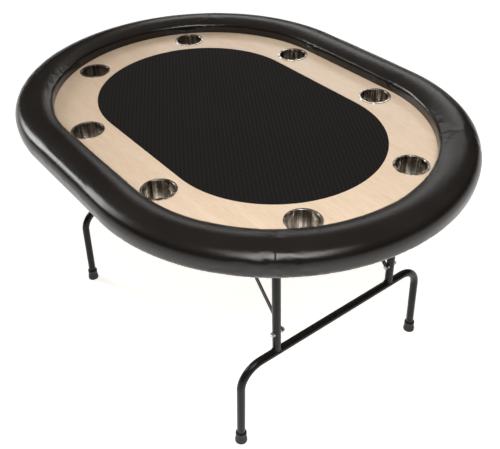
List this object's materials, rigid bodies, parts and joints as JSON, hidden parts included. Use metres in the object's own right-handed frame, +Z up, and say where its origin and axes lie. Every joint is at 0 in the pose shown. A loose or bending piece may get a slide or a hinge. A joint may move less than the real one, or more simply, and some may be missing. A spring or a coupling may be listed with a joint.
{
  "type": "poker table",
  "caption": "Folding oval poker table: black cloth playing field, pale wood racetrack with steel cup holders, padded vinyl armrest rail and folding tubular steel legs.",
  "frame": {"origin": "on the floor under the middle of the table top", "axes": "+X along the table's longest extent, +Y across it, +Z up; the near leg frame is at +X"},
  "size_m": [1.544, 1.157, 0.845],
  "materials": {
    "plywood": "bare",
    "racetrack_wood": "satin lacquer",
    "speed_cloth": "woven",
    "foam": "open cell",
    "rail_vinyl": "satin leatherette",
    "cup_steel": "brushed",
    "black_steel": "gloss powder coat",
    "foot_rubber": "matt",
    "cap_plastic": "moulded",
    "zinc_fasteners": "zinc plated"
  },
  "bodies": {
    "table_top": {"base_board": "plywood", "brace_bracket_1": "black_steel", "brace_bracket_2": "black_steel", "brace_bracket_3": "black_steel", "brace_bracket_4": "black_steel", "brace_pins": "zinc_fasteners", "bracket_screws": "zinc_fasteners", "cup_holder_1": "cup_steel", "cup_holder_2": "cup_steel", "cup_holder_3": "cup_steel", "cup_holder_4": "cup_steel", "cup_holder_5": "cup_steel", "cup_holder_6": "cup_steel", "cup_holder_7": "cup_steel", "cup_holder_8": "cup_steel", "deck_screws": "zinc_fasteners", "pivot_bracket_1": "black_steel", "pivot_bracket_2": "black_steel", "pivot_bracket_3": "black_steel", "pivot_bracket_4": "black_steel", "play_field_board": "plywood", "play_field_foam": "foam", "racetrack": "racetrack_wood", "rail_bolts": "zinc_fasteners", "rail_cover_1": "rail_vinyl", "rail_cover_2": "rail_vinyl", "rail_cover_3": "rail_vinyl", "rail_cover_4": "rail_vinyl", "rail_foam": "foam", "rail_ring": "plywood", "speed_cloth": "speed_cloth"},
    "near_leg": {"brace_bolts_near": "zinc_fasteners", "foot_bow_near": "black_steel", "pivot_bar_caps_near": "cap_plastic", "pivot_bar_near": "black_steel", "rubber_foot_near_left": "foot_rubber", "rubber_foot_near_right": "foot_rubber", "upright_near_left": "black_steel", "upright_near_right": "black_steel"},
    "far_leg": {"brace_bolts_far": "zinc_fasteners", "foot_bow_far": "black_steel", "pivot_bar_caps_far": "cap_plastic", "pivot_bar_far": "black_steel", "rubber_foot_far_left": "foot_rubber", "rubber_foot_far_right": "foot_rubber", "upright_far_left": "black_steel", "upright_far_right": "black_steel"},
    "near_left_brace_lower": {"brace_lower_near_left": "black_steel", "elbow_rivet_near_left": "zinc_fasteners"},
    "near_left_brace_upper": {"brace_upper_near_left": "black_steel"},
    "near_right_brace_lower": {"brace_lower_near_right": "black_steel", "elbow_rivet_near_right": "zinc_fasteners"},
    "near_right_brace_upper": {"brace_upper_near_right": "black_steel"},
    "far_left_brace_lower": {"brace_lower_far_left": "black_steel", "elbow_rivet_far_left": "zinc_fasteners"},
    "far_left_brace_upper": {"brace_upper_far_left": "black_steel"},
    "far_right_brace_lower": {"brace_lower_far_right": "black_steel", "elbow_rivet_far_right": "zinc_fasteners"},
    "far_right_brace_upper": {"brace_upper_far_right": "black_steel"}
  },
  "joints": [
    {"name": "near_leg_fold", "type": "hinge", "parent": "table_top", "child": "near_leg", "pos_m": [0.4826, 0, 0.71], "axis": [0, 1, 0], "range_deg": [0, 90]},
    {"name": "near_left_upper_brace_turn", "type": "hinge", "parent": "table_top", "child": "near_left_brace_upper", "pos_m": [0.1766, -0.2093, 0.71], "axis": [0, -1, 0], "range_deg": [0, 47.26]},
    {"name": "near_left_lower_brace_turn", "type": "hinge", "parent": "near_leg", "child": "near_left_brace_lower", "pos_m": [0.4826, -0.2139, 0.379], "axis": [0, 1, 0], "range_deg": [0, 42.76]},
    {"name": "near_right_upper_brace_turn", "type": "hinge", "parent": "table_top", "child": "near_right_brace_upper", "pos_m": [0.1766, 0.2093, 0.71], "axis": [0, -1, 0], "range_deg": [0, 47.26]},
    {"name": "near_right_lower_brace_turn", "type": "hinge", "parent": "near_leg", "child": "near_right_brace_lower", "pos_m": [0.4826, 0.2139, 0.379], "axis": [0, 1, 0], "range_deg": [0, 42.76]},
    {"name": "far_leg_fold", "type": "hinge", "parent": "table_top", "child": "far_leg", "pos_m": [-0.4826, 0, 0.71], "axis": [0, -1, 0], "range_deg": [0, 85]},
    {"name": "far_left_upper_brace_turn", "type": "hinge", "parent": "table_top", "child": "far_left_brace_upper", "pos_m": [-0.1766, -0.2093, 0.71], "axis": [0, 1, 0], "range_deg": [0, 46.17]},
    {"name": "far_left_lower_brace_turn", "type": "hinge", "parent": "far_leg", "child": "far_left_brace_lower", "pos_m": [-0.4826, -0.2139, 0.379], "axis": [0, -1, 0], "range_deg": [0, 41.77]},
    {"name": "far_right_upper_brace_turn", "type": "hinge", "parent": "table_top", "child": "far_right_brace_upper", "pos_m": [-0.1766, 0.2093, 0.71], "axis": [0, 1, 0], "range_deg": [0, 46.17]},
    {"name": "far_right_lower_brace_turn", "type": "hinge", "parent": "far_leg", "child": "far_right_brace_lower", "pos_m": [-0.4826, 0.2139, 0.379], "axis": [0, -1, 0], "range_deg": [0, 41.77]}
  ],
  "couplings": [
    {"joint": "near_left_upper_brace_turn", "follows": "near_leg_fold", "ratio": 0.52497},
    {"joint": "near_left_lower_brace_turn", "follows": "near_leg_fold", "ratio": 0.47503},
    {"joint": "near_right_upper_brace_turn", "follows": "near_leg_fold", "ratio": 0.52497},
    {"joint": "near_right_lower_brace_turn", "follows": "near_leg_fold", "ratio": 0.47503},
    {"joint": "far_left_upper_brace_turn", "follows": "far_leg_fold", "ratio": 0.54308},
    {"joint": "far_left_lower_brace_turn", "follows": "far_leg_fold", "ratio": 0.49135},
    {"joint": "far_right_upper_brace_turn", "follows": "far_leg_fold", "ratio": 0.54308},
    {"joint": "far_right_lower_brace_turn", "follows": "far_leg_fold", "ratio": 0.49135}
  ]
}
